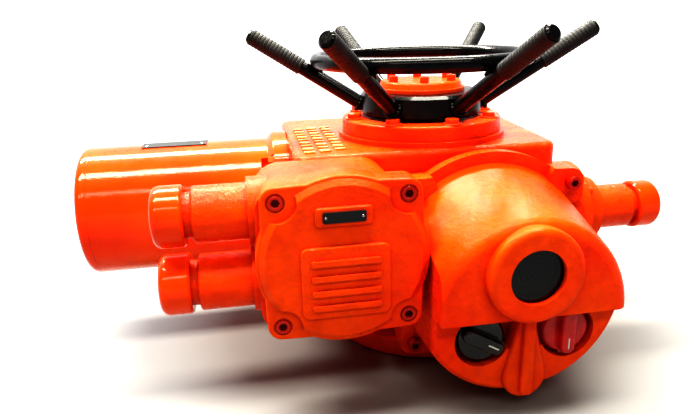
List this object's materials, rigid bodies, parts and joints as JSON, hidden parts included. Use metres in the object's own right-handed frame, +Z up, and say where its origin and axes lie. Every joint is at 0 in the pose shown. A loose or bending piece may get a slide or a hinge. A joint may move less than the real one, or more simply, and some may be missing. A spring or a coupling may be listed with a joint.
{
  "type": "motorized valve actuator",
  "caption": "Multi-turn electric valve actuator with a horizontal motor, raised handwheel, round terminal cover, domed control cover with window and knobs, and a round base flange.",
  "frame": {"origin": "centre of the base flange's lower face, on the output axis", "axes": "+Z up along the output axis towards the handwheel, -X towards the motor's end, -Y towards the terminal and control covers"},
  "size_m": [0.641, 0.405, 0.3345],
  "materials": {
    "orange_paint": "glossy orange-red enamel",
    "black_paint": "glossy black enamel",
    "grip": "ribbed satin rubber",
    "steel": "machined",
    "bearing_steel": "ground",
    "bronze": "machined bronze",
    "lamination": "laminated",
    "winding": "varnished copper",
    "rubber": "matte",
    "knob_black": "gloss",
    "knob_red": "gloss",
    "glass": "tinted",
    "dial": "matte",
    "moulding": "matte",
    "board": "satin",
    "brass": "turned",
    "plate": "dark anodised"
  },
  "bodies": {
    "casing": {"adapter_screws": "orange_paint", "base_flange": "orange_paint", "base_neck": "orange_paint", "base_screws": "orange_paint", "bonnet": "orange_paint", "bonnet_screws": "orange_paint", "contactor": "moulding", "control_board": "board", "control_cover": "orange_paint", "control_housing": "orange_paint", "control_screws": "orange_paint", "control_seal": "rubber", "gearbox_housing": "orange_paint", "gland_bodies": "orange_paint", "gland_nuts": "orange_paint", "gland_seals": "rubber", "lower_seal": "rubber", "main_bearings": "bearing_steel", "motor_bearings": "bearing_steel", "motor_end_cap": "orange_paint", "motor_screws": "orange_paint", "motor_shell": "orange_paint", "motor_shield": "steel", "position_unit": "moulding", "rating_plate": "plate", "right_gland_adapter": "orange_paint", "stator_core": "lamination", "stator_windings": "winding", "terminal_block": "moulding", "terminal_box": "orange_paint", "terminal_cover": "orange_paint", "terminal_label": "plate", "terminal_screws": "orange_paint", "terminal_seal": "rubber", "terminal_studs": "brass", "window_glass": "glass", "window_ring": "moulding"},
    "handwheel": {"handwheel_hub": "black_paint", "handwheel_rods": "black_paint", "handwheel_grips": "grip", "handwheel_ring": "black_paint", "handwheel_sleeve": "steel", "stem_cap": "orange_paint", "cap_screws": "orange_paint"},
    "output_sleeve": {"drive_sleeve": "steel", "stem_nut": "bronze", "worm_wheel": "bronze"},
    "clutch": {"clutch_ring": "steel"},
    "rotor": {"motor_shaft": "steel", "rotor_core": "lamination", "worm": "steel"},
    "lever": {"lever_shaft": "steel", "lever_arm": "orange_paint", "lever_knob": "knob_black"},
    "dial": {"dial_disc": "dial", "dial_shaft": "steel"},
    "selector": {"selector_knob": "knob_black", "selector_shaft": "steel"},
    "command": {"command_knob": "knob_red", "command_shaft": "steel"}
  },
  "joints": [
    {"name": "handwheel_spin", "type": "hinge", "parent": "casing", "child": "handwheel", "pos_m": [0, 0, 0.255], "axis": [0, 0, 1], "continuous": true},
    {"name": "output_spin", "type": "hinge", "parent": "casing", "child": "output_sleeve", "pos_m": [0, 0, 0.142], "axis": [0, 0, 1], "continuous": true},
    {"name": "clutch_slide", "type": "slide", "parent": "output_sleeve", "child": "clutch", "axis": [0, 0, 1], "range_m": [0, 0.012]},
    {"name": "motor_spin", "type": "hinge", "parent": "casing", "child": "rotor", "pos_m": [0, 0.055, 0.142], "axis": [1, 0, 0], "continuous": true},
    {"name": "lever_turn", "type": "hinge", "parent": "casing", "child": "lever", "pos_m": [0.04, 0.14, 0.168], "axis": [0, 1, 0], "range_deg": [0, 45]},
    {"name": "dial_spin", "type": "hinge", "parent": "casing", "child": "dial", "pos_m": [0.035, -0.185, 0.139], "axis": [0, -1, 0], "continuous": true},
    {"name": "selector_turn", "type": "hinge", "parent": "casing", "child": "selector", "pos_m": [-0.001, -0.19, 0.073], "axis": [0, -1, 0], "range_deg": [-45, 45]},
    {"name": "command_turn", "type": "hinge", "parent": "casing", "child": "command", "pos_m": [0.078, -0.19, 0.073], "axis": [0, -1, 0], "range_deg": [-45, 45], "stiffness_Nm_per_rad": 0.4}
  ],
  "couplings": [
    {"joint": "output_spin", "follows": "motor_spin", "ratio": 0.03125},
    {"joint": "dial_spin", "follows": "motor_spin", "ratio": 0.0019531},
    {"joint": "clutch_slide", "follows": "lever_turn", "m_per_rad": 0.0152}
  ]
}
